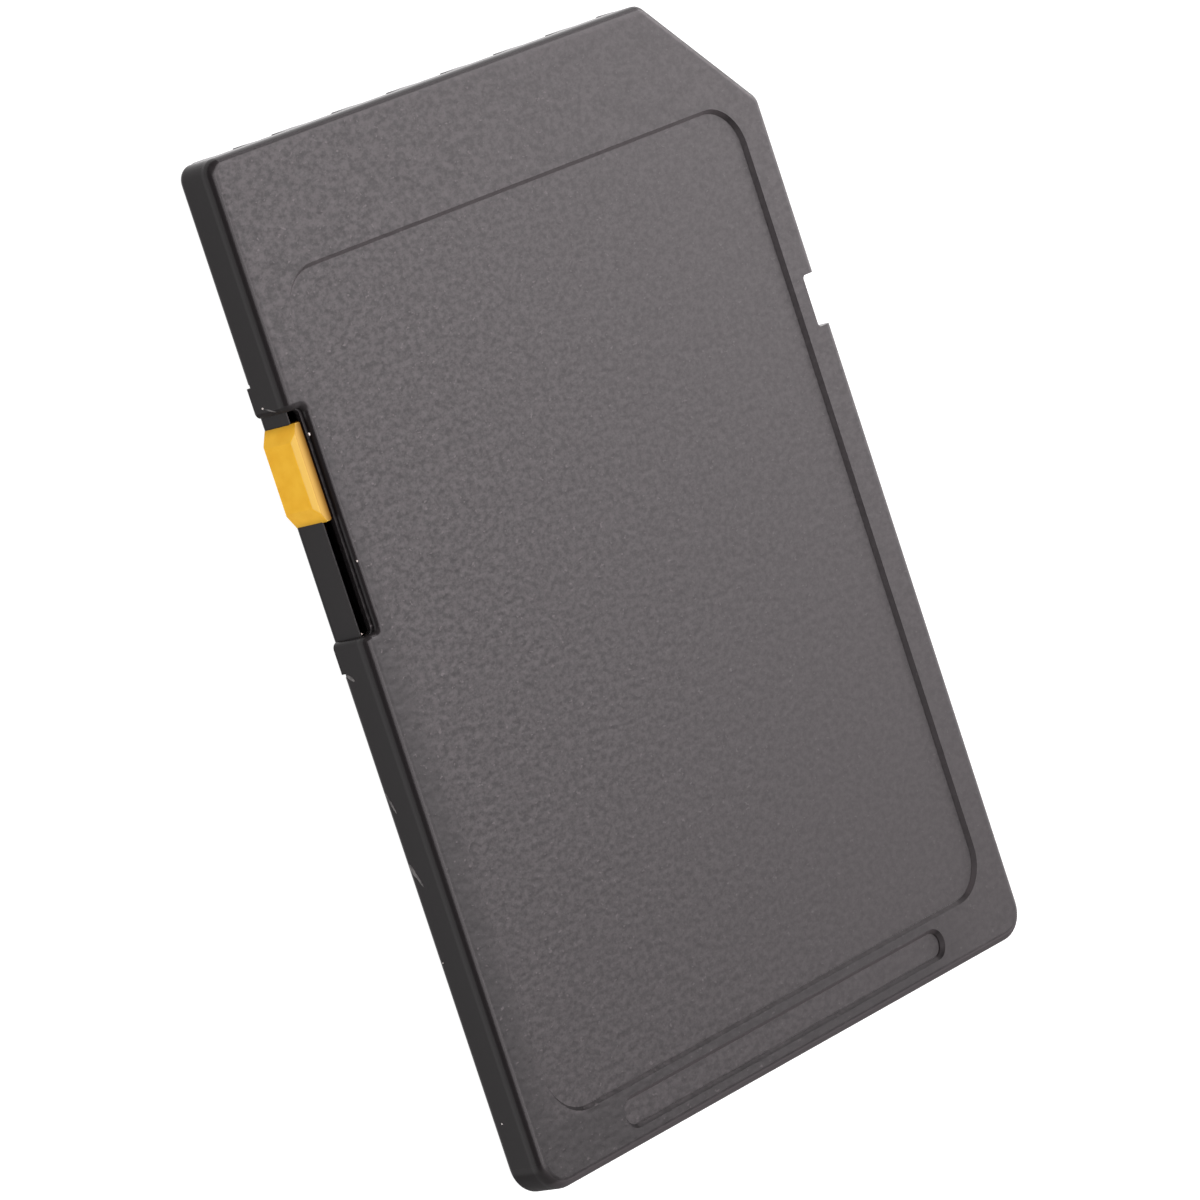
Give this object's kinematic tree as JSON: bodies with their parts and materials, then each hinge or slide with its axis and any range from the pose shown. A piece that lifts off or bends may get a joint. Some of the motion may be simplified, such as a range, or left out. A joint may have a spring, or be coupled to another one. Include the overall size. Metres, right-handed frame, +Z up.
{
  "type": "sd memory card",
  "caption": "Flat moulded memory card with a cut corner, side guide rails, a row of recessed gold contacts and a sliding write-protect switch.",
  "frame": {"origin": "middle of the card's outline on its contact-side face, the face that it lies on", "axes": "+Y towards the contact end, +Z up out of the label side, +X across to the side with the cut corner"},
  "size_m": [0.0241, 0.032, 0.0021],
  "materials": {
    "cover_plastic": "charcoal moulded plastic with a fine spark-eroded grain",
    "shell_plastic": "charcoal moulded plastic, satin on the side walls",
    "switch_plastic": "smooth yellow moulded plastic",
    "board_laminate": "glass-fibre laminate under a green solder mask",
    "gold_contact": "gold plating over nickel and copper",
    "chip_moulding": "black moulded epoxy with a matt top",
    "lead_metal": "tin-plated lead frame",
    "capacitor_ceramic": "tan ceramic with tin-plated ends",
    "resistor_body": "black glazed top on a white ceramic with tin-plated ends"
  },
  "bodies": {
    "card": {"label_side_cover": "cover_plastic", "contact_side_cover": "shell_plastic", "circuit_board": "board_laminate", "memory_chip": "chip_moulding", "controller_chip": "chip_moulding", "memory_chip_leads": "lead_metal", "contact_pad_1": "gold_contact", "contact_pad_2": "gold_contact", "contact_pad_3": "gold_contact", "contact_pad_4": "gold_contact", "contact_pad_5": "gold_contact", "contact_pad_6": "gold_contact", "contact_pad_7": "gold_contact", "contact_pad_8": "gold_contact", "contact_pad_9": "gold_contact", "capacitor_1": "capacitor_ceramic", "capacitor_2": "capacitor_ceramic", "capacitor_3": "capacitor_ceramic", "capacitor_4": "capacitor_ceramic", "resistor_1": "resistor_body", "resistor_2": "resistor_body", "resistor_3": "resistor_body", "resistor_4": "resistor_body"},
    "switch": {"write_protect_switch": "switch_plastic"}
  },
  "joints": [
    {"name": "write_protect_slide", "type": "slide", "parent": "card", "child": "switch", "axis": [0, -1, 0], "range_m": [0, 0.00315]}
  ]
}
